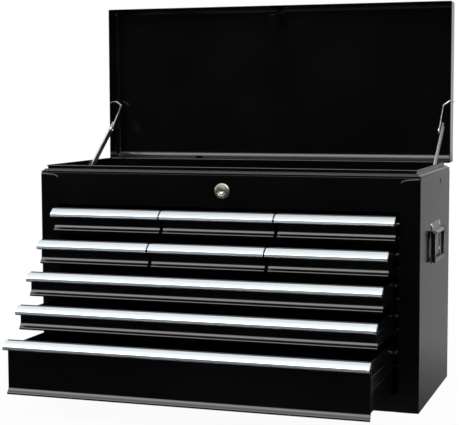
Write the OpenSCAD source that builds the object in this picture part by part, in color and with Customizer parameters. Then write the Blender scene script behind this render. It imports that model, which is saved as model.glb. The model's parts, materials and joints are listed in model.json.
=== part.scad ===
// Top chest for hand tools: a sheet-steel case with a lift-up lid over a till,
// six small drawers in two rows and three full-width drawers below them.
// Millimetres, +Z up. The origin is the centre of the base, on the surface that it stands on.
// X runs along the front, the front faces -Y. The chest is drawn with its lid open
// and its drawers pulled out in steps.

/* [Case] */
// Outside width of the case
case_w = 660; // [640:1:700]
// Outside depth of the case
case_d = 292; // [286:1:300]
// Height of the flat faces, up to the bead under the lid
face_top = 376.5; // [374:0.5:384]
// Thickness of the steel sheet
sheet = 1.2; // [1:0.1:1.4]
// How far the collar stands in from the outer faces
collar_inset = 8.5; // [8:0.5:10]
// Height of the collar above the ledge
collar_h = 6.5; // [4:0.5:8]
// Height of the till's floor above the base
till_z = 323; // [321:0.5:325]

/* [Drawers] */
// Height of the top edge of the first row's pulls
first_pull_z = 318; // [316:0.5:319]
// Distance from one row to the next
row_pitch = 49; // [48:0.5:49]
// Height of a drawer front in the first four rows
front_h = 40; // [36:0.5:41]
// Height of the bottom drawer's front
bottom_front_h = 87.5; // [80:0.5:88]
// Depth of the drawer boxes
box_d = 266; // [250:1:267]
// Overall length of a full-width pull
pull_w = 591; // [575:1:591]
// Gap between two small pulls
pull_gap = 2.6; // [2:0.2:4]
// How far each row's drawer fronts stand ahead of the case, top row first
row_open = [27, 79.5, 119, 158, 203]; // each [2:0.5:215]

/* [Lid] */
// Depth of the lid's sides
lid_h = 39.5; // [36:0.5:42]
// How far the closed lid's front stands back from the case front
lid_setback = 5; // [4:0.5:6]
// Radius of the lid's upright corners
lid_corner_r = 3; // [2.5:0.5:6]
// Radius of the bends along the lid's sides
lid_edge_r = 9; // [4:0.5:11]
// Radius of the bends along the lid's front and back
lid_roll_r = 16; // [10:0.5:18]
// Angle that the lid stands open at
lid_open = 90; // [0:5:90]

/* [Lid stays] */
// Length of a channel bar, from its pivot to its tip
stay_bar_l = 145; // [135:1:150]
// Radius of the stay wire
stay_wire_r = 2.2; // [2:0.1:2.4]

/* [Side handles] */
// Length of a handle's plate along the case
plate_l = 84; // [80:1:100]
// Height of a handle's plate
plate_h = 70; // [66:1:80]
// Radius of the grip
grip_r = 3.7; // [3.4:0.1:4.2]

/* [Hidden] */
$fn = 32;

// Paint and metals
paint = [0.05, 0.05, 0.055];
bright = [0.86, 0.88, 0.89];
zinc = [0.62, 0.63, 0.62];
rubber = [0.03, 0.03, 0.03];

// Case
half_w = case_w / 2;
half_d = case_d / 2;
bead_r = 3;
ledge_z = face_top + 2 * bead_r;
collar_top = ledge_z + collar_h;
hem_r = sheet;
skirt_h = 12;
base_flange = 14;
rail_h = 30;
rail_flange = 15;
post_top = face_top - 1.2;
post_corner_r = 10;
post_return = 19;

// Drawer columns
small_pull = (pull_w - 2 * pull_gap) / 3;
column_pitch = small_pull + pull_gap;
upright = (column_pitch - sheet) / 2;
opening_half = column_pitch + upright;
front_margin = 3.5;
inset_front = half_d + sheet;

// Slides
slide_gap = 9;
slide_h = 24;
slide_flange = 7.2;
runner_h = slide_h - 2 * sheet - 0.8;
runner_flange = 6.6;
slide_front = -half_d + 4;
slide_back = half_d - 20;
slide_drop = 26;
bottom_slide_drop = 36;

// Drawer boxes and fronts
box_t = 1;
box_top_drop = 8.5;
back_top_drop = 15;
front_top_drop = 1;
flare_out = 5.5;
flare_h = 8.5;
hem_h = 3;
pull_lip = 16;

// Shelf between the rows of small drawers and the full-width ones
shelf_z = first_pull_z - 2 * row_pitch + 2;
shelf_lip = 6;

// Lid hinge
hinge_y = half_d + 3.6;
hinge_z = ledge_z;
knuckle_r = 3.2;
pin_r = 1.5;
running = 0.06;
leaf_t = 1;
leaf_h = 19;
knuckle_l = 50;
knuckle_count = 12;
knuckle_gap = 0.4;
hinge_l = knuckle_l * knuckle_count;

// Lid
lid_rim_z = ledge_z + 0.5;
lid_top_z = lid_rim_z + lid_h;
lid_front_y = -half_d + lid_setback;

// Lock
lock_z = 350;
lock_r = 9.5;
plug_r = 6;
tail_r = 4;
lock_back_y = -120;
cam_t = 2;
cam_reach = 40;
strike_half = 6;
strike_z = ledge_z + 1.5;

// Lock bar, which the closed lid pushes down
bar_y = half_d - 12;
bar_t = 1.5;
bar_drop = 6;
bar_strip = 16;
bar_top_z = first_pull_z;
finger_l = 22;
finger_up = 9;
tab_x = -146;
tab_w = 12;
tab_y = half_d - 7.8;

// Lid stays: pivot on the case, hook beside the bar, hole in the lid's side, all as y and z when open.
// As the lid shuts, the bar turns by stay_turn and the wire by wire_turn for each degree.
stay_x = 313.6;
stay_channel = 6;
stay_half_w = 5.5;
stay_wire_x = 309.5;
stay_pivot = [30, 370];
stay_rise = 36.5;
stay_hook = [126, 447];
stay_bend = [170, 489];
stay_hole = [172, 496];
stay_pin_r = 3;
stay_turn = 1.4833;
wire_turn = -1.2766;

// Round hole high on each side panel
sight_hole = [43, 361.5];

// Side handles
handle_y = -1;
plate_z = 227;
plate_t = 1.2;
bail_r = 2.2;
roll_r = 3.9;
pivot_x = half_w + plate_t + 0.4 + grip_r;
pivot_z = plate_z + plate_h - 17;
grip_drop = plate_h - 24.5;
knob_r = grip_r + 0.7;
arm_y = plate_l / 2 + 1.3 + grip_r;
rivet_r = 2;
rivet_head_r = 4;

function row_z(row) = first_pull_z - (row - 1) * row_pitch;
function row_front_h(row) = row == 5 ? bottom_front_h : front_h;
function row_front_y(row) = -half_d - row_open[row - 1];
function column_half(row) = row <= 2 ? upright : opening_half;
function box_half(row) = column_half(row) - slide_gap;
function pull_half(row) = (row <= 2 ? small_pull : pull_w) / 2;
function slide_z(row) = row_z(row) - (row == 5 ? bottom_slide_drop : slide_drop);
function column_x(column) = column * column_pitch;

// Extrudes a profile drawn in y and z along x
module along_x(length) {
    rotate([90, 0, 90]) linear_extrude(length, center = true) children();
}

// Extrudes a profile drawn in x and z along y
module along_y(length) {
    rotate([90, 0, 0]) linear_extrude(length, center = true) children();
}

// A box given by its two corners
module block(low, high) {
    translate(low) cube(high - low);
}

// A round bar between two points
module rod(from, to, r) {
    run = to - from;
    tilt = acos(run[2] / norm(run));
    turn = atan2(run[1], run[0]);
    translate(from) rotate([0, tilt, turn]) cylinder(h = norm(run), r = r);
}

// The rounded end or corner of a round bar
module ball(at, r) {
    translate(at) sphere(r + 0.06);
}

// A cylinder along +x
module x_pin(x, y, z, length, r) {
    translate([x, y, z]) rotate([0, 90, 0]) cylinder(h = length, r = r);
}

// A cylinder along +y
module y_pin(x, y, z, length, r) {
    translate([x, y, z]) rotate([-90, 0, 0]) cylinder(h = length, r = r);
}

module rounded_rect(w, d, r) {
    square([w - 2 * r, d], center = true);
    square([w, d - 2 * r], center = true);
    for (sx = [-1, 1], sy = [-1, 1]) translate([sx * (w / 2 - r), sy * (d / 2 - r)]) circle(r);
}

// Sheet sides of the case, with a round hole near the lid's stay
module side_panel(side) {
    color(paint) difference() {
        block([side > 0 ? half_w - sheet : -half_w, -half_d, 0],
              [side > 0 ? half_w : sheet - half_w, half_d, face_top]);
        x_pin(side * half_w - 5, sight_hole[0], sight_hole[1], 10, 4.5);
        for (p = rivet_places()) x_pin(side * half_w - 5, p[0], p[1], 10, rivet_r + running);
    }
}

module back_panel() {
    color(paint) block([sheet - half_w, half_d - sheet, 0], [half_w - sheet, half_d, face_top]);
}

// Pan with upturned flanges, which the chest stands on
module base_pan() {
    x = half_w - sheet;
    y = half_d - sheet;
    color(paint) difference() {
        block([-x, -y, 0], [x, y, base_flange]);
        block([sheet - x, sheet - y, sheet], [x - sheet, y - sheet, base_flange + 1]);
    }
}

// Panel above the drawers, folded back under the till, with the lock's hole
module front_fascia() {
    x = half_w - sheet;
    color(paint) difference() {
        union() {
            block([-x, -half_d, till_z - sheet], [x, sheet - half_d, face_top]);
            block([-x, -half_d, till_z - sheet], [x, rail_flange - half_d, till_z]);
        }
        y_pin(0, -half_d - 5, lock_z, 10, lock_r + running);
    }
}

module front_base_rail() {
    x = half_w - sheet;
    color(paint) {
        block([-x, -half_d, 0], [x, sheet - half_d, rail_h]);
        block([-x, -half_d, rail_h - sheet], [x, rail_flange - half_d, rail_h]);
    }
}

// Corner post beside the drawers: a face with a rounded top inner corner, and a return that carries the slides
module front_post(side) {
    r = post_corner_r;
    color(paint) mirror([side > 0 ? 0 : 1, 0, 0]) {
        translate([0, -half_d - sheet / 2, 0]) along_y(sheet) {
            translate([opening_half, 0]) square([half_w - opening_half, post_top - r]);
            translate([opening_half + r, 0]) square([half_w - opening_half - r, post_top]);
            translate([opening_half + r, post_top - r]) circle(r);
        }
        block([opening_half, -half_d - sheet, rail_h + 0.5],
              [opening_half + sheet, -half_d + post_return, till_z - sheet - 0.5]);
    }
}

// Upright channels at the back, which carry the slides' rear ends
module rear_posts() {
    depth = 20;
    for (side = [0, 1]) color(paint) mirror([side, 0, 0]) {
        y = slide_back - depth - 1;
        block([opening_half, y, sheet], [opening_half + sheet, y + depth, till_z]);
        for (edge = [0, depth - sheet])
            block([opening_half, y + edge, sheet], [half_w - 2 * sheet, y + edge + sheet, till_z]);
    }
}

// Thin strips that tie the posts together in the gaps between the rows
module cross_rails() {
    for (row = [2, 4, 5]) color(paint)
        block([-opening_half, sheet - half_d, row_z(row) + 1.5],
              [opening_half, 2 * sheet - half_d, row_z(row) + 1.5 + shelf_lip]);
}

module middle_shelf() {
    color(paint) {
        block([-opening_half, sheet - half_d, shelf_z], [opening_half, slide_back, shelf_z + sheet]);
        block([-opening_half, sheet - half_d, shelf_z], [opening_half, 2 * sheet - half_d, shelf_z + shelf_lip]);
    }
}

// Upright sheet between two columns of small drawers
module divider(side) {
    x = side * column_pitch / 2;
    color(paint) block([x - sheet / 2, 2 * sheet - half_d, shelf_z + sheet], [x + sheet / 2, slide_back, till_z - sheet]);
}

// Channel section of a slide: the web's outer face at x = 0, the flanges towards -x
module slide_section(height, flange) {
    translate([-sheet, -height / 2]) square([sheet, height]);
    for (z = [-height / 2, height / 2 - sheet]) translate([-flange, z]) square([flange, sheet]);
}

// The fixed members of one drawer's two slides
module case_slides(x, row) {
    length = slide_back - slide_front;
    for (side = [0, 1]) translate([x, 0, 0]) mirror([side, 0, 0])
        translate([column_half(row), slide_front + length / 2, slide_z(row)]) along_y(length)
            slide_section(slide_h, slide_flange);
}

module full_width_slides() {
    color(zinc) for (row = [3:5]) case_slides(0, row);
}

module small_drawer_slides() {
    color(zinc) for (row = [1, 2], column = [-1:1]) case_slides(column_x(column), row);
}

// One run of a profile along x, its outer face at y = 0, its ends cut at 45 degrees
module mitred_run(length) {
    reach = 20;
    intersection() {
        along_x(length) children();
        linear_extrude(collar_top + 10)
            polygon([[-length / 2, 0], [length / 2, 0], [length / 2 - reach, reach], [reach - length / 2, reach]]);
    }
}

// Bead, ledge, collar and till wall in one, drawn as distance inwards and height
module till_wall_section() {
    translate([bead_r, ledge_z - bead_r]) circle(bead_r);
    translate([sheet, ledge_z - bead_r - skirt_h]) square([sheet, skirt_h]);
    translate([bead_r, ledge_z - sheet]) square([collar_inset - bead_r, sheet]);
    translate([collar_inset, till_z]) square([sheet, collar_top - hem_r - till_z]);
    translate([collar_inset + sheet - hem_r, collar_top - hem_r]) circle(hem_r);
}

// Rim of the case: bead and ledge all round, and the till's walls, which rise as a collar inside the lid
module till_frame() {
    color(paint) difference() {
        for (turn = [0:3]) rotate([0, 0, 90 * turn])
            translate([0, -(turn % 2 == 0 ? half_d : half_w), 0])
                mitred_run(turn % 2 == 0 ? case_w : case_d) till_wall_section();
        y_pin(0, -half_d - 1, lock_z, 15, lock_r + running);
        for (side = [-1, 1])
            x_pin(side * (half_w - collar_inset) - 5, stay_pivot[0], stay_pivot[1], 10, stay_pin_r + running);
        block([tab_x - tab_w / 2 - 1, tab_y - 0.4, ledge_z - 2],
              [tab_x + tab_w / 2 + 1, half_d - 5.6, collar_top + 1]);
    }
}

module till_floor() {
    x = half_w - collar_inset - sheet;
    y = half_d - collar_inset - sheet;
    color(paint) difference() {
        block([-x, -y, till_z], [x, y, till_z + 11]);
        block([sheet - x, sheet - y, till_z + sheet], [x - sheet, y - sheet, till_z + 12]);
    }
}

// Lock: stepped bezel and barrel through the fascia and the till wall
module lock_housing() {
    color(bright) difference() {
        union() {
            y_pin(0, -half_d - 2.6, lock_z, 2.6, 13);
            y_pin(0, -half_d - 4.2, lock_z, 4.2, 10.5);
            y_pin(0, -half_d - 4.2, lock_z, lock_back_y + half_d + 4.2, lock_r);
        }
        y_pin(0, -half_d - 10, lock_z, 60, plug_r + running);
    }
}

module lock_nut() {
    y = -half_d + collar_inset + sheet;
    color(zinc) difference() {
        translate([0, y, lock_z]) rotate([-90, 0, 0]) cylinder(h = 5, r = 13.5, $fn = 6);
        y_pin(0, y - 1, lock_z, 7, lock_r + running);
    }
}

// Plug with its keyway; its tail carries the cam
module lock_plug() {
    color(bright) difference() {
        union() {
            y_pin(0, -half_d - 4.8, lock_z, lock_back_y + half_d + 4.8, plug_r);
            y_pin(0, lock_back_y, lock_z, 6.5, tail_r);
        }
        block([-0.9, -half_d - 6, lock_z - 3.6], [0.9, -half_d - 0.8, lock_z + 3.6]);
    }
}

// Hooked arm, drawn unlocked: it points along +x, and a quarter turn brings its nib over the strike
module lock_cam() {
    inner = strike_half + 0.7;
    color(zinc) difference() {
        translate([0, lock_back_y + 0.4 + cam_t / 2, lock_z]) along_y(cam_t) {
            circle(9);
            translate([0, -inner - 6]) square([cam_reach, 6]);
            translate([cam_reach - 3.8, -inner - 6]) square([3.8, inner + 6 + 3]);
        }
        y_pin(0, lock_back_y - 1, lock_z, 8, tail_r + running);
    }
}

module lock_cam_nut() {
    y = lock_back_y + 0.4 + cam_t;
    color(zinc) difference() {
        translate([0, y, lock_z]) rotate([-90, 0, 0]) cylinder(h = 3, r = 7, $fn = 6);
        y_pin(0, y - 1, lock_z, 5, tail_r + running);
    }
}

// One finger over a closed drawer's back wall
module lock_finger(x, row) {
    half = bar_strip / 2;
    top = row_z(row) - back_top_drop + finger_up;
    block([x - half, bar_y - finger_l, top - bar_t], [x + half, bar_y + bar_t, top]);
    block([x - half, bar_y - finger_l, top - finger_up + 1], [x + half, bar_y - finger_l + bar_t, top]);
}

// Sheet bar behind the drawers: the lid pushes its tab down and its fingers hold every drawer shut
module lock_bar() {
    half = bar_strip / 2;
    strip_z = bar_top_z - 13;
    color(zinc) translate([0, 0, -bar_drop * (1 - lid_open / 90)]) {
        block([-column_pitch - half, bar_y, strip_z], [column_pitch + half, bar_y + bar_t, bar_top_z]);
        for (column = [-1:1]) {
            x = column_x(column);
            last = column == 0 ? 5 : 2;
            block([x - half, bar_y, row_z(last) - back_top_drop - 4], [x + half, bar_y + bar_t, bar_top_z]);
            for (row = [1:last]) lock_finger(x, row);
        }
        block([tab_x - tab_w / 2, bar_y, bar_top_z - bar_t], [tab_x + tab_w / 2, tab_y + bar_t, bar_top_z]);
        block([tab_x - tab_w / 2, tab_y, bar_top_z - bar_t],
              [tab_x + tab_w / 2, tab_y + bar_t, ledge_z + bar_drop - 0.5]);
    }
}

// Two open brackets on the back panel that guide the bar
module lock_bar_guides() {
    for (side = [-1, 1]) color(zinc) difference() {
        block([side * 60 - 7, bar_y - 2.5, bar_top_z - 23], [side * 60 + 7, half_d - sheet, bar_top_z - 3]);
        block([side * 60 - 8, bar_y - 0.5, bar_top_z - 21.5], [side * 60 + 8, bar_y + bar_t + 0.5, bar_top_z]);
    }
}

// Turns what is drawn on the closed lid to where the lid stands open
module on_open_lid() {
    translate([0, hinge_y, hinge_z]) rotate([-lid_open, 0, 0]) translate([0, -hinge_y, -hinge_z]) children();
}

// Turns what is drawn on the upright lid to where the lid stands
module on_upright_lid() {
    translate([0, hinge_y, hinge_z]) rotate([90 - lid_open, 0, 0]) translate([0, -hinge_y, -hinge_z]) children();
}

// The closed lid's outer form, drawn in by a distance all round
module lid_form(in, below) {
    w = case_w - 2 * in;
    y0 = lid_front_y + in;
    y1 = half_d - in;
    top = lid_top_z - in;
    r = lid_edge_r - in;
    roll = lid_roll_r - in;
    bottom = lid_rim_z - below;
    intersection() {
        translate([0, (y0 + y1) / 2, bottom]) linear_extrude(top - bottom)
            rounded_rect(w, y1 - y0, lid_corner_r - in);
        along_y(2 * case_d) {
            translate([-w / 2, bottom]) square([w, top - bottom - r]);
            translate([r - w / 2, bottom]) square([w - 2 * r, top - bottom]);
            for (s = [-1, 1]) translate([s * (w / 2 - r), top - r]) circle(r);
        }
        along_x(2 * case_w) {
            translate([y0, bottom]) square([y1 - y0, top - bottom - roll]);
            translate([y0 + roll, bottom]) square([y1 - y0 - 2 * roll, top - bottom]);
            for (y = [y0 + roll, y1 - roll]) translate([y, top - roll]) circle(roll);
        }
    }
}

// Lid: a shallow pan with rounded bends, and a hole in each side for a stay
module lid_shell() {
    color(paint) difference() {
        on_open_lid() difference() {
            lid_form(0, 0);
            lid_form(sheet, 5);
        }
        for (side = [-1, 1])
            on_upright_lid() x_pin(side * half_w - 5, stay_hole[0], stay_hole[1], 10, stay_wire_r + running);
    }
}

// Bracket at the middle of the lid's front, which the lock's hook holds down
module lid_strike() {
    y = lid_front_y + lid_roll_r + 0.5;
    inside = lid_top_z - sheet;
    color(zinc) on_open_lid() {
        block([-10, y, inside - sheet], [10, y + 16, inside]);
        block([-strike_half, y, strike_z], [strike_half, y + sheet, inside]);
        block([-strike_half, y, strike_z], [strike_half, y + 22, strike_z + sheet]);
    }
}

// Small angle inside the lid's rear edge that pushes the lock bar's tab down
module lid_pusher() {
    y = half_d - sheet;
    color(zinc) on_open_lid() {
        block([tab_x - 7, y - sheet, lid_rim_z], [tab_x + 7, y, lid_rim_z + 12]);
        block([tab_x - 7, tab_y - 0.4, lid_rim_z], [tab_x + 7, y, lid_rim_z + sheet]);
    }
}

// One leaf of the piano hinge, drawn hanging below the pin; which = 0 or 1 picks its knuckles
module hinge_leaf(which) {
    clear = knuckle_r + 0.4;
    difference() {
        union() {
            block([-hinge_l / 2, half_d, hinge_z - leaf_h], [hinge_l / 2, half_d + leaf_t, hinge_z - clear]);
            for (k = [which:2:knuckle_count - 1]) {
                x = -hinge_l / 2 + k * knuckle_l + knuckle_gap / 2;
                length = knuckle_l - knuckle_gap;
                block([x, half_d, hinge_z - clear - 1], [x + length, half_d + leaf_t, hinge_z]);
                x_pin(x, hinge_y, hinge_z, length, knuckle_r);
            }
        }
        x_pin(-hinge_l, hinge_y, hinge_z, 2 * hinge_l, pin_r + running);
    }
}

module hinge_case_leaf() {
    color(zinc) hinge_leaf(0);
}

module hinge_lid_leaf() {
    color(zinc) on_open_lid() translate([0, 0, 2 * hinge_z]) mirror([0, 0, 1]) hinge_leaf(1);
}

module hinge_pin() {
    color(bright) x_pin(-hinge_l / 2 - 1, hinge_y, hinge_z, hinge_l + 2, pin_r);
}

// Channel bar of a lid stay, pivoted on the till's side wall
module stay_bar(side) {
    angle = stay_rise + stay_turn * (90 - lid_open);
    color(zinc) mirror([side > 0 ? 0 : 1, 0, 0]) difference() {
        translate([stay_x, stay_pivot[0], stay_pivot[1]]) rotate([angle, 0, 0]) difference() {
            union() {
                block([0, 0, -stay_half_w], [stay_channel, stay_bar_l - stay_half_w, stay_half_w]);
                for (y = [0, stay_bar_l - stay_half_w]) x_pin(0, y, 0, stay_channel, stay_half_w);
            }
            block([1, -10, 1 - stay_half_w], [stay_channel + 1, stay_bar_l + 10, stay_half_w - 1]);
        }
        x_pin(stay_x - 5, stay_pivot[0], stay_pivot[1], 10, stay_pin_r + running);
    }
}

// Bent wire of a lid stay: its hook runs beside the bar, its other end turns in the lid's side
module stay_wire(side) {
    hook = [stay_wire_x, stay_hook[0], stay_hook[1]];
    bend = [stay_wire_x, stay_bend[0], stay_bend[1]];
    turn = [half_w - 7, stay_hole[0], stay_hole[1]];
    color(bright) mirror([side > 0 ? 0 : 1, 0, 0]) on_upright_lid()
    translate(turn) rotate([wire_turn * (90 - lid_open), 0, 0]) translate(-turn) {
        rod(hook, bend, stay_wire_r);
        rod(bend, turn, stay_wire_r);
        for (at = [hook, bend, turn]) ball(at, stay_wire_r);
        x_pin(turn[0], turn[1], turn[2], 10, stay_wire_r);
    }
}

// Rivets that the bars turn on, through the till's side walls
module stay_pivots() {
    wall = half_w - collar_inset;
    for (side = [0, 1]) color(zinc) mirror([side, 0, 0]) {
        x_pin(stay_x - 1.2, stay_pivot[0], stay_pivot[1], 0.9, 4.5);
        x_pin(stay_x - 1.2, stay_pivot[0], stay_pivot[1], wall + 3.2 - stay_x, stay_pin_r);
        x_pin(stay_x + 1.3, stay_pivot[0], stay_pivot[1], wall - sheet - stay_x - 1.3, 4);
        x_pin(wall, stay_pivot[0], stay_pivot[1], 1.2, 5.5);
    }
}

// Places of one handle's rivets, as y and z
function rivet_places() = [for (sy = [-1, 1], z = [plate_z + 19, plate_z + plate_h - 8])
    [handle_y + sy * (plate_l / 2 - 7), z]];

// Plate of a side handle, with a roll across it that holds the bail
module handle_plate(side) {
    roll_l = plate_l - 12;
    y = handle_y - roll_l / 2;
    color(zinc) mirror([side > 0 ? 0 : 1, 0, 0]) difference() {
        union() {
            translate([half_w + plate_t / 2, handle_y, plate_z + plate_h / 2]) rotate([90, 0, 90])
                linear_extrude(plate_t, center = true) rounded_rect(plate_l, plate_h, 6);
            y_pin(pivot_x, y, pivot_z, roll_l, roll_r);
            block([half_w, y, pivot_z - 1], [pivot_x, y + roll_l, pivot_z + roll_r]);
        }
        y_pin(pivot_x, handle_y - plate_l, pivot_z, 2 * plate_l, bail_r + running);
        for (p = rivet_places()) x_pin(half_w - 5, p[0], p[1], 10, rivet_r + running);
    }
}

// The closed loop that the bail's wire follows
module bail_loop(r) {
    low_z = pivot_z - grip_drop;
    for (s = [-1, 1]) {
        y = handle_y + s * arm_y;
        translate([pivot_x, y, low_z]) cylinder(h = grip_drop, r = r);
        for (z = [pivot_z, low_z]) ball([pivot_x, y, z], r);
    }
    for (z = [pivot_z, low_z]) y_pin(pivot_x, handle_y - arm_y, z, 2 * arm_y, r);
}

// Wire of a side handle, which turns in the plate's roll
module handle_bail(side) {
    color(bright) mirror([side > 0 ? 0 : 1, 0, 0]) bail_loop(bail_r);
}

// Moulded sleeve round the bail's arms and lower run, with a knob at the top of each arm
module handle_grip(side) {
    low_z = pivot_z - grip_drop;
    color(rubber) mirror([side > 0 ? 0 : 1, 0, 0]) difference() {
        union() {
            for (s = [-1, 1]) {
                y = handle_y + s * arm_y;
                translate([pivot_x, y, low_z]) cylinder(h = grip_drop, r = grip_r);
                ball([pivot_x, y, pivot_z], knob_r);
                ball([pivot_x, y, low_z], grip_r);
            }
            y_pin(pivot_x, handle_y - arm_y, low_z, 2 * arm_y, grip_r);
        }
        bail_loop(bail_r + running);
    }
}

module handle_rivets() {
    for (side = [0, 1], p = rivet_places()) color(zinc) mirror([side, 0, 0]) {
        x_pin(half_w - sheet - 1.5, p[0], p[1], 1.5, rivet_head_r - 0.5);
        x_pin(half_w - sheet - 1.5, p[0], p[1], 2 * sheet + 2.5, rivet_r);
        x_pin(half_w + plate_t, p[0], p[1], 1.4, rivet_head_r);
    }
}

// Folded front sheet, drawn as y and z from the front's top edge, with its flared foot
module front_section(height) {
    bend = height - flare_h;
    polygon([
        [0, -front_top_drop], [0, -bend], [-flare_out, hem_h - height], [-flare_out, -height],
        [sheet - flare_out, -height], [sheet - flare_out, hem_h - 0.5 - height], [sheet, -bend - 0.5],
        [sheet, -front_top_drop]
    ]);
}

// One drawer: front, box and the slide members on its sides
module drawer(column, row) {
    height = row_front_h(row);
    half = box_half(row);
    z = row_z(row);
    floor_z = 1 - height;
    color(paint) translate([column_x(column), row_front_y(row), z]) {
        along_x(2 * (pull_half(row) - front_margin)) front_section(height);
        difference() {
            block([-half, 0, floor_z], [half, sheet + box_d, -box_top_drop]);
            block([box_t - half, sheet, floor_z + box_t], [half - box_t, sheet + box_d - box_t, 1]);
            block([box_t - half, box_d / 2, -back_top_drop], [half - box_t, box_d + 10, 1]);
        }
        for (side = [0, 1]) mirror([side, 0, 0])
            translate([half + sheet, sheet + box_d / 2 + 2, slide_z(row) - z]) along_y(box_d - 4)
                mirror([1, 0, 0]) translate([sheet, 0]) slide_section(runner_h, runner_flange);
    }
}

// Drawn aluminium pull, as y and z from its top edge: it clips over the front and hooks forward and down
module pull_section() {
    nose = [-10.3, -10.2];
    polygon([
        [2 * sheet, -8], [2 * sheet, 0], [0, 0], [nose[0] - 0.8, nose[1] + 1.3], [nose[0] + 0.3, nose[1]],
        [-sheet, -2.6], [-sheet, -11], [0, -11], [0, -front_top_drop], [sheet, -front_top_drop], [sheet, -8]
    ]);
    translate(nose) circle(1.5);
    polygon([
        [nose[0] - 1.5, nose[1]], [nose[0] - 1.5, -13], [nose[0] + 2, -pull_lip], [nose[0] + 2.9, 1 - pull_lip],
        [nose[0], -12.5], [nose[0], nose[1]]
    ]);
}

module pull(column, row) {
    color(bright) translate([column_x(column), row_front_y(row), row_z(row)])
        along_x(2 * pull_half(row)) pull_section();
}

side_panel(-1);  // side_panel_left
side_panel(1);  // side_panel_right
back_panel();
base_pan();
front_fascia();
front_base_rail();
front_post(-1);  // front_post_left
front_post(1);  // front_post_right
rear_posts();
cross_rails();
middle_shelf();
divider(-1);  // divider_left
divider(1);  // divider_right
full_width_slides();
small_drawer_slides();
till_frame();
till_floor();
lock_housing();
lock_nut();
lock_plug();
lock_cam();
lock_cam_nut();
lock_bar();
lock_bar_guides();
lid_shell();
lid_strike();
lid_pusher();
hinge_case_leaf();
hinge_lid_leaf();
hinge_pin();
stay_bar(-1);  // stay_bar_left
stay_bar(1);  // stay_bar_right
stay_wire(-1);  // stay_wire_left
stay_wire(1);  // stay_wire_right
stay_pivots();
handle_plate(-1);  // handle_plate_left
handle_plate(1);  // handle_plate_right
handle_bail(-1);  // handle_bail_left
handle_bail(1);  // handle_bail_right
handle_grip(-1);  // handle_grip_left
handle_grip(1);  // handle_grip_right
handle_rivets();
drawer(-1, 1);  // drawer_1_left
drawer(0, 1);  // drawer_1_middle
drawer(1, 1);  // drawer_1_right
drawer(-1, 2);  // drawer_2_left
drawer(0, 2);  // drawer_2_middle
drawer(1, 2);  // drawer_2_right
drawer(0, 3);  // drawer_3
drawer(0, 4);  // drawer_4
drawer(0, 5);  // drawer_5
pull(-1, 1);  // pull_1_left
pull(0, 1);  // pull_1_middle
pull(1, 1);  // pull_1_right
pull(-1, 2);  // pull_2_left
pull(0, 2);  // pull_2_middle
pull(1, 2);  // pull_2_right
pull(0, 3);  // pull_3
pull(0, 4);  // pull_4
pull(0, 5);  // pull_5
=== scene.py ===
"""A steel top chest for hand tools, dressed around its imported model. Metres, +Z up, the front faces -Y."""
import json
import math
import bmesh
import bpy
from mathutils import Matrix, Vector

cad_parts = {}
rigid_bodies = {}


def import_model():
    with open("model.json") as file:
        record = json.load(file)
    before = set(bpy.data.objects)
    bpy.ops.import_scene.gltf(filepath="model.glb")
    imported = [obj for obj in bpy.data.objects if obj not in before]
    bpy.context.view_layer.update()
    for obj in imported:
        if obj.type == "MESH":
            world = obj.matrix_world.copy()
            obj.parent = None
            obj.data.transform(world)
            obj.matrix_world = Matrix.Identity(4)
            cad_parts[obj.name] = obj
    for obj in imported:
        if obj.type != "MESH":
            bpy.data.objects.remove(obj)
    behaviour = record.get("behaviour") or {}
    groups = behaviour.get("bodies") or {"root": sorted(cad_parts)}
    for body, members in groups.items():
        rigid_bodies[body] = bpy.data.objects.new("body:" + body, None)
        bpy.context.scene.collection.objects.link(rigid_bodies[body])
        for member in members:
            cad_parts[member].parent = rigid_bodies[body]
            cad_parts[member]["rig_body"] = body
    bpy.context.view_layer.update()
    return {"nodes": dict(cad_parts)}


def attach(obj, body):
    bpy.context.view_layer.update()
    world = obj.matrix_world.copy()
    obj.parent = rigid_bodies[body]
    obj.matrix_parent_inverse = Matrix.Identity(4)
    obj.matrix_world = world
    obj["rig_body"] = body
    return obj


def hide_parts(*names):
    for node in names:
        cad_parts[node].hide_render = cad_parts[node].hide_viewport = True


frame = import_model()
nodes = frame["nodes"]

# Camera: a long lens a little to the right of the chest and above its lid's edge,
# turned left and tilted down, as the photograph was taken.
STAND = (0.68143, -2.1563, 0.50422)
YAW, PITCH, ROLL = (math.radians(angle) for angle in (18.395, 5.108, -0.184))
camera = bpy.data.objects.new("camera", bpy.data.cameras.new("camera"))
camera.data.sensor_width = 36
camera.data.lens = 101.015
camera.data.clip_end = 60
camera.matrix_world = (Matrix.Translation(STAND) @ Matrix.Rotation(YAW, 4, "Z")
                       @ Matrix.Rotation(math.pi / 2 - PITCH, 4, "X") @ Matrix.Rotation(ROLL, 4, "Z"))
bpy.context.scene.collection.objects.link(camera)
bpy.context.scene.camera = camera

# Studio: a pale floor and open air that read white to the camera. The sheet metal sees a dark room
# in front of the chest, a band of bright softboxes above that, and a paler wall behind.
class Value:
    """A socket among a tree's nodes, so that shader maths reads as plain expressions."""

    def __init__(self, owner, socket):
        self.owner, self.socket = owner, socket

    def math(self, operation, first, second=0.0):
        return self.owner.node("ShaderNodeMath", {"operation": operation}, {0: first, 1: second})

    def __add__(self, other):
        return self.math("ADD", self, other)

    def __sub__(self, other):
        return self.math("SUBTRACT", self, other)

    def __rsub__(self, other):
        return self.math("SUBTRACT", other, self)

    def __mul__(self, other):
        return self.math("MULTIPLY", self, other)

    def __truediv__(self, other):
        return self.math("DIVIDE", self, other)

    def __pow__(self, other):
        return self.math("POWER", self, other)

    __radd__, __rmul__ = __add__, __mul__


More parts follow.
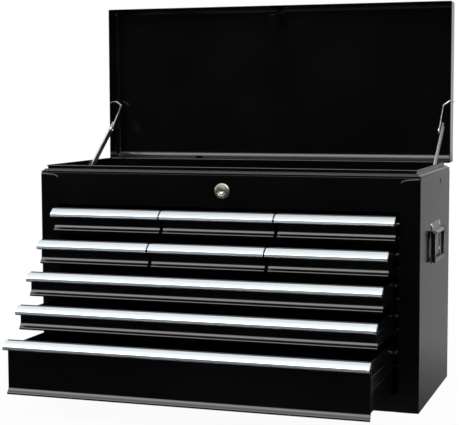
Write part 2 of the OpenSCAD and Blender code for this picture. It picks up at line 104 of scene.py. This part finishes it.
class Nodes:
    """A tree of nodes under construction, and one method that adds any node to it."""

    def __init__(self, tree):
        self.tree = tree

    def node(self, kind, settings, values, output=0):
        made = self.tree.nodes.new(kind)
        for name, value in settings.items():
            if name == "stops":
                while len(made.color_ramp.elements) < len(value):
                    made.color_ramp.elements.new(0.5)
                for element, (place, colour) in zip(made.color_ramp.elements, value):
                    element.position, element.color = place, (*colour, 1)
            else:
                setattr(made, name, value)
        for socket, value in values.items():
            if isinstance(value, Value):
                self.tree.links.new(value.socket, made.inputs[socket])
            else:
                made.inputs[socket].default_value = value
        return Value(self, made.outputs[output])

    def place(self):
        """Where a point lies on the object, in metres."""
        return self.node("ShaderNodeTexCoord", {}, {}, "Object")

    def scaled(self, x, y, z):
        return self.node("ShaderNodeVectorMath", {"operation": "MULTIPLY"}, {0: self.place(), 1: (x, y, z)})

    def noise(self, scale, detail=2.0, stretch=(1, 1, 1)):
        return self.node("ShaderNodeTexNoise", {}, {"Vector": self.scaled(*stretch), "Scale": scale, "Detail": detail})

    def between(self, value, low, high, start=0.0, end=1.0):
        """Start where value is low, end where it is high, and a straight line between."""
        return self.node("ShaderNodeMapRange", {}, {"Value": value, "From Min": low, "From Max": high,
                                                    "To Min": start, "To Max": end})


class Finish(Nodes):
    """A material under construction, with its shader."""

    def __init__(self, name, **constants):
        self.material = bpy.data.materials.new(name)
        self.material.use_nodes = True
        super().__init__(self.material.node_tree)
        self.shader = self.tree.nodes["Principled BSDF"]
        for socket, value in constants.items():
            self.shader.inputs[socket.replace("_", " ")].default_value = value

    def feed(self, socket, value, shader=None):
        self.tree.links.new(value.socket, (shader or self.shader).inputs[socket])

    def bump(self, height, distance):
        self.feed("Normal", self.node("ShaderNodeBump", {}, {"Height": height, "Distance": distance}))

    def blend(self, mask, first, second):
        """A colour between two colours."""
        return self.node("ShaderNodeMix", {"data_type": "RGBA"}, {0: mask, 6: first, 7: second}, 2)


FLOOR_HALF = 9
floor_mesh = bpy.data.meshes.new("floor")
floor_mesh.from_pydata([(x * FLOOR_HALF, y * FLOOR_HALF, 0) for x, y in ((-1, -1), (1, -1), (1, 1), (-1, 1))], [],
                       [(0, 1, 2, 3)])
floor = bpy.data.objects.new("floor", floor_mesh)
bpy.context.scene.collection.objects.link(floor)
studio = Finish("studio_floor", Base_Color=(0.9, 0.9, 0.9, 1), Roughness=0.9)
path = {name: studio.node("ShaderNodeLightPath", {}, {}, name) for name in ("Is Camera Ray", "Is Glossy Ray")}
across = {axis: studio.node("ShaderNodeSeparateXYZ", {}, {"Vector": studio.place()}, axis) for axis in "XY"}
behind = studio.between(across["Y"], -0.35, 0.5, 0.02, 0.335)
away = (across["X"] * across["X"] + across["Y"] * across["Y"]) ** 0.5
share = studio.between(away, 0.35, 1.0, 0.955, 1.0)
white = studio.node("ShaderNodeEmission", {}, {"Color": (1, 1, 1, 1), "Strength": 1.0})
mirrored = studio.node("ShaderNodeEmission", {}, {"Color": (1, 1, 1, 1), "Strength": behind})
surface = Value(studio, studio.shader.outputs[0])
seen = studio.node("ShaderNodeMixShader", {}, {0: path["Is Camera Ray"] * share, 1: surface, 2: white})
seen = studio.node("ShaderNodeMixShader", {}, {0: path["Is Glossy Ray"], 1: seen, 2: mirrored})
studio.feed("Surface", seen, studio.tree.nodes["Material Output"])
floor.data.materials.append(studio.material)

# Air: what the sheet metal sees, in shades from the horizon in front (0) over the top (0.5) to the
# horizon behind (1), and darker towards both ends of the room.
SHADES = [(0.0, 0.02), (0.08, 0.04), (0.12, 0.4), (0.15, 6.5), (0.28, 7.0), (0.37, 4.0), (0.43, 2.1), (0.5, 1.3),
          (0.56, 1.2), (0.66, 1.2), (0.78, 0.5), (0.92, 0.42), (0.955, 0.36), (0.975, 0.8), (1.0, 0.85)]
BRIGHTEST, ENDS, DIFFUSE = 7.0, 0.3, 0.45
world = bpy.data.worlds.new("studio_air")
bpy.context.scene.world = world
world.use_nodes = True
air = Nodes(world.node_tree)
background = air.tree.nodes["Background"]
path = {name: air.node("ShaderNodeLightPath", {}, {}, name) for name in ("Is Camera Ray", "Is Glossy Ray")}
way = {axis: air.node("ShaderNodeSeparateXYZ", {}, {"Vector": air.node("ShaderNodeTexCoord", {}, {}, "Generated")},
                      axis) for axis in "XYZ"}
level = air.node("ShaderNodeMath", {"operation": "ABSOLUTE"}, {0: way["Z"]})
turn = air.node("ShaderNodeMath", {"operation": "ARCTAN2"}, {0: level, 1: 0 - way["Y"]}) / math.pi
stops = [(place, (shade / BRIGHTEST,) * 3) for place, shade in SHADES]
band = air.node("ShaderNodeValToRGB", {"stops": stops}, {0: turn})
ends = air.between(way["X"], 0.6, 0.85, BRIGHTEST, ENDS)
lit = path["Is Glossy Ray"] * (band * ends) + (1 - path["Is Glossy Ray"]) * DIFFUSE
air.tree.links.new((path["Is Camera Ray"] + (1 - path["Is Camera Ray"]) * lit).socket, background.inputs["Strength"])
background.inputs["Color"].default_value = (1, 1, 1, 1)

for name, place, aim, wide, high, power in (
        ("softbox", (0.1, -1.3, 2.6), (0, 0, 0.2), 2.4, 1.6, 34),
        ("lamp_right", (2.6, 0.6, 1.4), (0, 0, 0.3), 1.6, 1.6, 8),
        ("lamp_left", (-2.6, -0.6, 1.6), (0, 0, 0.3), 1.6, 1.6, 8),
        ("side_strip", (1.35, -0.05, 0.17), (0.33, -0.05, 0.26), 0.16, 0.3, 3)):
    lamp = bpy.data.objects.new(name, bpy.data.lights.new(name, "AREA"))
    lamp.data.shape, lamp.data.size, lamp.data.size_y, lamp.data.energy = "RECTANGLE", wide, high, power
    lamp.location = place
    lamp.rotation_euler = (Vector(aim) - Vector(place)).to_track_quat("-Z", "Y").to_euler()
    lamp.visible_camera = False
    lamp.visible_glossy = name == "side_strip"
    bpy.context.scene.collection.objects.link(lamp)

# Case: panels of folded steel sheet, spot-welded along their seams. The black powder coat is baked
# on, fairly glossy, with a faint orange peel, and it is duller and paler in patches.
FOLD = math.radians(40)


def named(slot, name, **constants):
    return Finish(name, **constants)


def settle(piece, finish, body, replaced=()):
    """Smooths a piece's curves, evens its flats, and puts it on its body in place of CAD nodes."""
    for face in piece.data.polygons:
        face.use_smooth = True
    shape = bmesh.new()
    shape.from_mesh(piece.data)
    for edge in shape.edges:
        edge.smooth = edge.calc_face_angle(0) < FOLD
    shape.to_mesh(piece.data)
    shape.free()
    even = piece.modifiers.new("even_flats", "WEIGHTED_NORMAL")
    even.keep_sharp = True
    piece.data.materials.clear()
    piece.data.materials.append(finish.material)
    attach(piece, body)
    if replaced:
        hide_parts(*replaced)


def softened(node, finish, width, steps=2, reshape=None):
    """A CAD node's sheet metal with its edges eased, as folding and the coating leave them."""
    piece = bpy.data.objects.new(node + "_sheet", nodes[node].data.copy())
    bpy.context.scene.collection.objects.link(piece)
    shape = bmesh.new()
    shape.from_mesh(piece.data)
    bmesh.ops.remove_doubles(shape, verts=shape.verts, dist=1e-6)
    bmesh.ops.dissolve_limit(shape, angle_limit=math.radians(1), verts=shape.verts, edges=shape.edges)
    if reshape:
        shape.normal_update()
        for vertex in shape.verts:
            reshape(vertex)
    edges = [edge for edge in shape.edges if edge.calc_face_angle(0) > FOLD and edge.calc_length() > 4 * width]
    bmesh.ops.bevel(shape, geom=edges, offset=width, offset_type="OFFSET", segments=steps, profile=0.5,
                    affect="EDGES", clamp_overlap=False)
    shape.to_mesh(piece.data)
    shape.free()
    settle(piece, finish, nodes[node]["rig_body"], (node,))


coat = named("black_paint", "black_powder_coat", Base_Color=(0.0022, 0.0022, 0.0023, 1), Roughness=0.2, IOR=1.46)
peel = coat.noise(420, 2)
handled = coat.noise(7, 5)
coat.feed("Roughness", 0.12 + handled * 0.08)
coat.feed("Base Color", coat.blend(coat.between(handled, 0.45, 0.75), (0.0019, 0.0019, 0.002, 1),
                                   (0.0034, 0.0033, 0.0032, 1)))
coat.bump(peel, 0.000006)
for node in ("side_panel_left", "side_panel_right", "back_panel", "base_pan", "front_base_rail", "front_fascia"):
    softened(node, coat, 0.0004)
for node in ("front_post_left", "front_post_right"):
    softened(node, coat, 0.0005, steps=3)

# Inner frame: plain strips and sheets that carry the slides, welded between the panels before the
# case was coated, so they wear the same paint.
for node in ("rear_posts", "cross_rails", "middle_shelf", "divider_left", "divider_right"):
    softened(node, coat, 0.0003)

# Slides: roll-formed channels of zinc-plated strip, riveted to the posts and dividers. The plating
# has a fine grain along its length and dull patches.
zinc = named("zinc_plated_steel", "zinc_plate", Base_Color=(0.55, 0.55, 0.53, 1), Roughness=0.35, Metallic=1.0)
dull = zinc.noise(45, 4)
zinc.feed("Roughness", 0.26 + dull * 0.22)
zinc.feed("Base Color", zinc.blend(zinc.between(dull, 0.35, 0.7), (0.5, 0.5, 0.49, 1), (0.34, 0.34, 0.33, 1)))
zinc.bump(zinc.noise(260, 2, (1, 0.1, 1)), 0.00001)
for node in ("full_width_slides", "small_drawer_slides"):
    softened(node, zinc, 0.0004)

# Till: a rolled bead and a flat ledge round the top of the case, and inside them the till's walls,
# which rise as a collar with a folded hem. Its floor is a shallow pan. All coated black.
HALF_WIDTH, HALF_DEPTH = 330, 146
BEAD_R, BEAD_Z, BEAD_SLACK = 0.003, 0.3795, 0.0001
SHOULDER_IN, SHOULDER_RUN, SHOULDER_FOOT, SHOULDER_RISE, SHOULDER_SWELL = 0.0002, 0.0046, 0.3772, 0.0052, 0.0003


def slope_bead(vertex):
    """Turns the round bead's outer upper quarter into the steep, rounded shoulder it is rolled to."""
    for axis, half in ((0, HALF_WIDTH / 1000), (1, HALF_DEPTH / 1000)):
        inwards = half - abs(vertex.co[axis])
        if inwards < BEAD_R + BEAD_SLACK and vertex.co.z > BEAD_Z - BEAD_SLACK:
            share = math.atan2(vertex.co.z - BEAD_Z, BEAD_R - inwards) / (math.pi / 2)
            share = min(max(share, 0), 1)
            vertex.co[axis] = math.copysign(half - SHOULDER_IN - SHOULDER_RUN * share, vertex.co[axis])
            vertex.co.z = SHOULDER_FOOT + SHOULDER_RISE * share + SHOULDER_SWELL * math.sin(share * math.pi)


softened("till_frame", coat, 0.0003, reshape=slope_bead)
softened("till_floor", coat, 0.0004)

# Lock: a die-cast bezel with turned rings round a dished plug, both satin nickel plated, on a barrel
# that a nut holds behind the panel. The hooked cam catches the strike in the lid.
LOCK_Z = 350


def joined(name, *parts):
    """One object from parts, each its points in millimetres and its faces."""
    points, faces = [], []
    for part_points, part_faces in parts:
        faces += [[len(points) + corner for corner in face] for face in part_faces]
        points += [Vector(point) / 1000 for point in part_points]
    piece = bpy.data.objects.new(name, bpy.data.meshes.new(name))
    piece.data.from_pydata(points, [], faces)
    bpy.context.scene.collection.objects.link(piece)
    shape = bmesh.new()
    shape.from_mesh(piece.data)
    bmesh.ops.recalc_face_normals(shape, faces=shape.faces)
    shape.to_mesh(piece.data)
    shape.free()
    return piece


def skin(rings, around, closed):
    """Faces between rings of points that follow each other, and over both ends unless they close up."""
    count = rings * around
    sides = [[(ring * around + step) % count, (ring * around + (step + 1) % around) % count,
              ((ring + 1) * around + (step + 1) % around) % count, ((ring + 1) * around + step) % count]
             for ring in range(rings if closed else rings - 1) for step in range(around)]
    return sides if closed else sides + [list(range(around)), list(range(count - 1, count - around - 1, -1))]


def turned(profile, placed, steps=64):
    """A part turned on a lathe: its profile's radii and heights, and where each point goes."""
    points = [placed(radius * math.cos(turn), radius * math.sin(turn), height)
              for turn in (math.tau * step / steps for step in range(steps)) for radius, height in profile]
    return points, skin(steps, len(profile), closed=True)


def at_lock(u, v, height):
    return u, -HALF_DEPTH - height, LOCK_Z + v


nickel = named("chrome", "satin_nickel", Base_Color=(0.35, 0.33, 0.28, 1), Roughness=0.3, Metallic=0.8)
turning = nickel.noise(60, 3)
nickel.feed("Roughness", 0.2 + turning * 0.16)
nickel.feed("Base Color", nickel.blend(nickel.between(turning, 0.35, 0.7), (0.38, 0.36, 0.31, 1),
                                       (0.24, 0.22, 0.18, 1)))
nickel.bump(nickel.noise(900, 2), 0.00001)
bezel = [(6.06, -25), (9.5, -25), (9.5, -0.05), (13, -0.05), (13, 0.7), (12.7, 1.0), (11.2, 2.4), (10.9, 2.55),
         (10.1, 2.6), (9.8, 2.4), (9.6, 2.1), (9.3, 2.1), (9.1, 2.5), (8.9, 3.6), (8.6, 4.0), (8.2, 4.2),
         (7.4, 4.2), (7.1, 4.1), (6.3, 3.4), (6.06, 3.1)]
settle(joined("lock_bezel", turned(bezel, at_lock)), nickel, nodes["lock_housing"]["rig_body"], ("lock_housing",))
plug = [(0.01, -32), (4, -32), (4, -26.1), (6, -26), (6, 3.5), (5.8, 3.9), (5.4, 4.1), (4.2, 4.0), (3.6, 3.7),
        (1.9, 2.6), (1.5, 2.5), (0.01, 2.5)]
face = joined("lock_plug_face", turned(plug, at_lock))
keyway = joined("keyway", ([at_lock(u, v, height) for u in (-0.8, 0.8) for height in (6, 1) for v in (-0.6, 3.6)],
                           [(0, 1, 3, 2), (4, 6, 7, 5), (0, 4, 5, 1), (2, 3, 7, 6), (0, 2, 6, 4), (1, 5, 7, 3)]))
cut = face.modifiers.new("keyway", "BOOLEAN")
cut.object = keyway
bpy.context.view_layer.update()
face.data = bpy.data.meshes.new_from_object(face.evaluated_get(bpy.context.evaluated_depsgraph_get()))
face.modifiers.clear()
bpy.data.objects.remove(keyway)
settle(face, nickel, nodes["lock_plug"]["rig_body"], ("lock_plug",))
for node in ("lock_nut", "lock_cam", "lock_cam_nut"):
    softened(node, zinc, 0.0003)

# Corner lips: the top of each front post is folded forward over the fascia's face, just under the
# bead, and its inner end is curled down.
LIP_R, LIP_AROUND = 1.9, 12
LIP_PATH = [Vector(point) for point in ((299.6, 367.8), (300.3, 369.4), (302, 370.8), (305, 371.8), (310, 372.5),
                                        (318, 373.2), (328, 373.8))]


def curled(sign):
    """A round lip along the path, on the fascia's face at its left or right end."""
    points = []
    for back, point, ahead in zip(LIP_PATH[:1] + LIP_PATH[:-1], LIP_PATH, LIP_PATH[1:] + LIP_PATH[-1:]):
        along = (ahead - back).normalized()
        for turn in (math.tau * step / LIP_AROUND for step in range(LIP_AROUND)):
            spot = point + Vector((-along.y, along.x)) * LIP_R * math.cos(turn)
            points.append((sign * spot.x, -HALF_DEPTH - LIP_R * math.sin(turn), spot.y))
    return points, skin(len(LIP_PATH), LIP_AROUND, closed=False)


settle(joined("front_corner_lips", curled(-1), curled(1)), coat, nodes["front_fascia"]["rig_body"])

# Lock bar: a plated strip behind the drawers with a finger for each of them, which two brackets
# guide and the lid's pusher presses down.
for node in ("lock_bar", "lock_bar_guides"):
    softened(node, zinc, 0.0003)

# Lid: one deep-folded sheet with welded corners, coated like the case, and the strike and the
# pusher spot-welded inside it.
for node in ("lid_shell", "lid_strike", "lid_pusher"):
    softened(node, coat, 0.0003)

# Piano hinge along the back: two rolled leaves on one drawn pin, riveted on after coating.
for node in ("hinge_case_leaf", "hinge_lid_leaf"):
    softened(node, zinc, 0.0003)
bright = named("bright_steel", "bright_steel_wire", Base_Color=(0.55, 0.55, 0.54, 1), Roughness=0.25, Metallic=1.0)
bright.feed("Roughness", 0.2 + bright.noise(90, 3) * 0.18)
softened("hinge_pin", bright, 0.0002)

# Lid stays: a shallow channel bar on a rivet each side, and a bent wire that runs from an eye at the
# bar to a hole in the lid's side.
WEB_X, WEB_OUT, FLANGE_SHARE, HEAD_REACH = 0.3136, 0.0035, 0.42, 0.0016
WIRE_FOOT_X, WIRE_SHARE, WIRE_THINNER = 0.3294, 0.774, 0.0006
EYE_X, EYE_Y, EYE_Z = 314, 123.1, 444.2
EYE_R, EYE_WIDE, EYE_THICK, EYE_AROUND = 4.2, 1.5, 1.3, 12


def narrow(vertex):
    """Rolls the bar's flanges to two fifths of the channel's full depth, as far out as they reach."""
    depth = abs(vertex.co.x) - WEB_X
    vertex.co.x = math.copysign(WEB_X + WEB_OUT + depth * FLANGE_SHARE, vertex.co.x)


def drawn_thin(vertex):
    """Draws the wire thinner, and brings its long run out towards the bar."""
    vertex.co -= vertex.normal * WIRE_THINNER
    vertex.co.x = math.copysign(WIRE_FOOT_X - (WIRE_FOOT_X - abs(vertex.co.x)) * WIRE_SHARE, vertex.co.x)


def seated(vertex):
    """Moves each rivet's inner head out onto the bar's web."""
    if abs(vertex.co.x) < WEB_X + HEAD_REACH:
        vertex.co.x += math.copysign(WEB_OUT, vertex.co.x)


def outwards(sign, x, y, z):
    """Places a turned part whose axis points out of the chest's left or right side."""
    return lambda u, v, height: (sign * (x + height), y + u, z + v)


eye = [(EYE_R + EYE_WIDE * math.cos(turn), EYE_THICK * math.sin(turn))
       for turn in (math.tau * step / EYE_AROUND for step in range(EYE_AROUND))]
for side, sign in (("left", -1), ("right", 1)):
    softened("stay_bar_" + side, zinc, 0.0002, reshape=narrow)
    softened("stay_wire_" + side, bright, 0.0002, reshape=drawn_thin)
    settle(joined("stay_eye_" + side, turned(eye, outwards(sign, EYE_X, EYE_Y, EYE_Z), 32)), bright,
           nodes["stay_wire_" + side]["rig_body"])
softened("stay_pivots", bright, 0.0003, reshape=seated)

# Side handles: a pressed plate with a roll across it, a wire bail that turns in the roll, and a
# glossy moulded sleeve with a cap over each end of the roll. Four domed rivets hold each plate.
BAIL_X, ARMS_Y, GRIP_Z, ROLL_Z = 335.3, (-48, 46), 234.5, 280
BORE_R, SLEEVE_TOP, SLEEVE_THINNER = 0.003, 0.275, 0.0007
RIVETS_Y, RIVETS_Z = (-36, 34), (246, 289)


def slim_sleeve(vertex):
    """Draws the sleeve's outside in towards its bore, below the caps."""
    off = abs(vertex.co.x) - BAIL_X / 1000
    arms = min(math.hypot(off, vertex.co.y - y / 1000) for y in ARMS_Y)
    if min(arms, math.hypot(off, vertex.co.z - GRIP_Z / 1000)) > BORE_R and vertex.co.z < SLEEVE_TOP:
        vertex.co -= vertex.normal * SLEEVE_THINNER


def upright(x, y, z):
    """Places a turned part whose axis points up."""
    return lambda u, v, height: (x + u, y + v, z + height)


gloss = named("black_grip", "gloss_black_sleeve", Base_Color=(0.006, 0.006, 0.006, 1), Roughness=0.12)
gloss.feed("Roughness", 0.08 + gloss.noise(140, 2) * 0.1)
cap = [(3.6, -8.4), (4.1, -8.2), (4.4, -7.6), (4.4, -0.4), (4.3, 1.2), (3.9, 2.6), (3.2, 3.6), (2.2, 4.3), (1.1, 4.6),
       (0.01, 4.65), (0.01, 3.0), (2.9, 1.0), (3.0, -8.3)]
dome = [(0.01, -2.4), (2, -2.4), (2, 1.2), (4, 1.2), (4, 1.5), (3.7, 1.95), (3.0, 2.3), (1.8, 2.52), (0.01, 2.6)]
tail = [(0.01, -2.7), (2.4, -2.6), (3.3, -2.1), (3.5, -1.25), (0.01, -1.25)]
rivets = []
for side, sign in (("left", -1), ("right", 1)):
    softened("handle_plate_" + side, zinc, 0.0003)
    softened("handle_bail_" + side, bright, 0.0002)
    softened("handle_grip_" + side, gloss, 0.0002, reshape=slim_sleeve)
    caps = [turned(cap, upright(sign * BAIL_X, y, ROLL_Z), 32) for y in ARMS_Y]
    settle(joined("handle_caps_" + side, *caps), gloss, nodes["handle_grip_" + side]["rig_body"])
    rivets += [turned(part, outwards(sign, HALF_WIDTH, y, z), 32)
               for y in RIVETS_Y for z in RIVETS_Z for part in (dome, tail)]
settle(joined("handle_rivet_domes", *rivets), zinc, nodes["handle_rivets"]["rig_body"], ("handle_rivets",))

# Drawers: a front folded from one sheet, hemmed at its top and foot, with a rounded flare, on a tray
# with hemmed rims, a low back and a channel along each side, all coated black. The front stops short
# of its pull's left end and meets its right end.
# Rows give the fronts' top and height, how far below the top the slides run, and how far they are out.
ROWS = {"1": (318, 40, 26, 27), "2": (269, 40, 26, 79.5), "3": (220, 40, 26, 119), "4": (171, 40, 26, 158),
        "5": (122, 87.5, 36, 203)}
COLUMNS = {"left": -197.867, "middle": 0, "right": 197.867}
SMALL_HALF, WIDE_HALF, FRONT_SHORT, TRAY_SHORT = 97.63, 295.5, 3.5, 8.3
TRAY_FROM, RUNNERS_FROM, BACK_FROM, BACK_IN, RUNNER = 1.25, 5.3, 267.2, 0.9, 6.6


def rounded(*corners, steps=6):
    """A closed outline whose corners, each (u, v, radius), are bent to their radii."""
    outline = []
    for back, (u, v, radius), ahead in zip(corners[-1:] + corners[:-1], corners, corners[1:] + corners[:1]):
        corner = Vector((u, v))
        back, ahead = ((Vector(other[:2]) - corner).normalized() for other in (back, ahead))
        half = back.angle(ahead) / 2
        if not radius:
            outline.append(corner)
            continue
        centre = corner + (back + ahead).normalized() * radius / math.sin(half)
        start, end = (corner + way * radius / math.tan(half) - centre for way in (back, ahead))
        outline += [centre + start.slerp(end, step / steps).normalized() * radius for step in range(steps + 1)]
    return outline


def drawn(outline, low, high, placed):
    """A length of one section: its outline, both its ends, and where each point goes."""
    points = [placed(u, v, end) for end in (low, high) for u, v in outline]
    return points, skin(2, len(outline), closed=False)


def across_x(y, z):
    return lambda u, v, end: (end, y + u, z + v)


def across_y(x, z, sign=1):
    return lambda u, v, end: (x + sign * u, end, z + v)


def standing(node):
    """A drawer's or pull's middle, half width, face, top, height and slides, from its row and column."""
    row, *column = node.split("_")[1:]
    top, height, slide_down, out = ROWS[row]
    x, half = (COLUMNS[column[0]], SMALL_HALF) if column else (0, WIDE_HALF)
    return x, half, -HALF_DEPTH - out, top, height, top - slide_down


for node in [name for name in nodes if name.startswith("drawer_")]:
    x, half, face_y, top, height, slide_z = standing(node)
    tray, back_y, body = half - TRAY_SHORT, face_y + BACK_FROM, nodes[node]["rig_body"]
    foot, bend, base = -height, 8.5 - height, 1 - height
    sheet = rounded((0, 0, 0.9), (0, bend, 10), (-5.5, foot + 3, 2.6), (-5.5, foot, 1.15), (-3.1, foot, 1.15),
                    (-3.1, foot + 2, 0.8), (-0.27, foot + 4.83, 0.3), (-1.12, foot + 5.68, 0), (1.2, bend - 0.5, 7),
                    (1.2, -7, 0), (2.3, -7, 0.4), (2.3, 0, 0.9))
    settle(joined(node + "_front", drawn(sheet, x - half + FRONT_SHORT, x + half, across_x(face_y, top))), coat,
           body, (node,))
    trough = rounded((-tray, -8.5, 0.9), (-tray, base, 1.6), (tray, base, 1.6), (tray, -8.5, 0.9),
                     (tray - 2, -8.5, 0.9), (tray - 2, -14, 0.3), (tray - 1, -14.4, 0.3), (tray - 1, base + 1, 0.8),
                     (1 - tray, base + 1, 0.8), (1 - tray, -14.4, 0.3), (2 - tray, -14, 0.3), (2 - tray, -8.5, 0.9))
    back = rounded((0, -15, 0.9), (0, base + 0.9, 0), (-1, base + 0.9, 0), (-1, -20.5, 0.3), (-2, -20.5, 0.3),
                   (-2, -15, 0.9))
    settle(joined(node + "_tray", drawn(trough, face_y + TRAY_FROM, back_y, across_y(x, top)),
                  drawn(back, x - tray + BACK_IN, x + tray - BACK_IN, across_x(back_y, top))), coat, body)
    channel = rounded((0, -10.4, 1.4), (RUNNER, -10.4, 0.4), (RUNNER, -9.2, 0.4), (1.2, -9.2, 0.7), (1.2, 9.2, 0.7),
                      (RUNNER, 9.2, 0.4), (RUNNER, 10.4, 0.4), (0, 10.4, 1.4), steps=4)
    runners = [drawn(channel, face_y + RUNNERS_FROM, back_y, across_y(x + sign * tray, slide_z, sign))
               for sign in (-1, 1)]
    settle(joined(node + "_runners", *runners), coat, body)

# Pulls: lengths of one drawn aluminium section, riveted from behind just below the fronts' hems, with
# a sloping finger plate, a rounded nose and a lip below it. The die leaves fine lines along them.
aluminium = named("bright_aluminium", "drawn_aluminium", Base_Color=(0.55, 0.597, 0.62, 1), Roughness=0.35,
                  Metallic=1.0)
lines = aluminium.noise(55, 2, (0.02, 9, 9))
aluminium.feed("Roughness", 0.3 + lines * 0.1)
aluminium.bump(lines, 0.000005)
section = rounded((-0.1, -1.2, 0.4), (-5.5, -4.5, 40), (-11.3, -9.2, 2.2), (-11.8, -14.4, 1.0), (-8.6, -16, 0.8),
                  (-7.8, -15, 0.5), (-10.2, -13.4, 0.7), (-10, -10.3, 0.8), (-1.2, -2.9, 1), (-1.2, -11, 0.4),
                  (-0.1, -11, 0.3))
for node in [name for name in nodes if name.startswith("pull_")]:
    x, half, face_y, top, *_ = standing(node)
    settle(joined(node + "_section", drawn(section, x - half, x + half, across_x(face_y, top))), aluminium,
           nodes[node]["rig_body"], (node,))

bpy.context.scene.view_settings.view_transform = "Standard"
